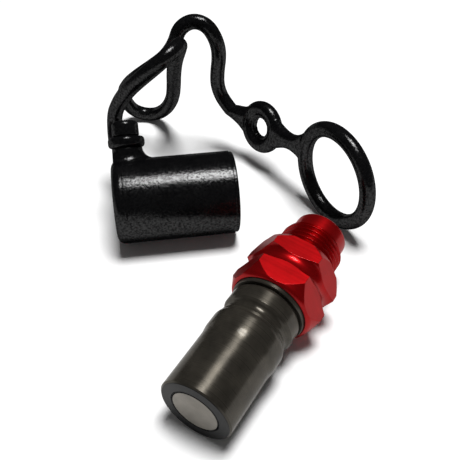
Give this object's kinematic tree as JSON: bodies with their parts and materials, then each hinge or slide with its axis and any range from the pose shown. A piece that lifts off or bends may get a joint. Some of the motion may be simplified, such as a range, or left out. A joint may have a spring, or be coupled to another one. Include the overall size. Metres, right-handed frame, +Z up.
{
  "type": "quick coupling plug",
  "caption": "Flat-face hydraulic quick coupling plug with a hexagon adapter, spring-loaded valve, and a rubber dust cap on a cord lanyard with a retaining ring.",
  "frame": {"origin": "middle of the base of the object as it lies, on the surface it rests on, measured without the cord", "axes": "+Z up, along the least extent; +Y away from the plug's nose end, along the greatest extent; the plug's axis lies 31 degrees from +Y towards +X and rises 3.7 degrees"},
  "size_m": [0.0889, 0.1549, 0.0565],
  "materials": {
    "dark_anodised": "satin hard anodised",
    "red_anodised": "satin red anodised",
    "valve_steel": "fine turned",
    "spring_steel": "drawn wire",
    "black_rubber": "moulded, slightly glossy",
    "seal_rubber": "smooth",
    "backup_plastic": "matte"
  },
  "bodies": {
    "plug": {"plug_body": "dark_anodised", "nose_seal": "seal_rubber", "nose_backup_ring": "backup_plastic", "valve_spring": "spring_steel", "valve_guide": "valve_steel", "guide_retainer": "spring_steel", "adapter": "red_anodised", "adapter_seal": "seal_rubber", "adapter_backup_ring": "backup_plastic", "dust_cap": "black_rubber", "lanyard_eye": "black_rubber", "lanyard_ring": "black_rubber", "lanyard_cord": "black_rubber"},
    "valve": {"valve": "valve_steel"}
  },
  "joints": [
    {"name": "valve_slide", "type": "slide", "parent": "plug", "child": "valve", "axis": [0.5163, 0.854, 0.064], "range_m": [0, 0.007], "stiffness_N_per_m": 2000, "springref_m": -0.005, "deforming": ["valve_spring"]}
  ]
}
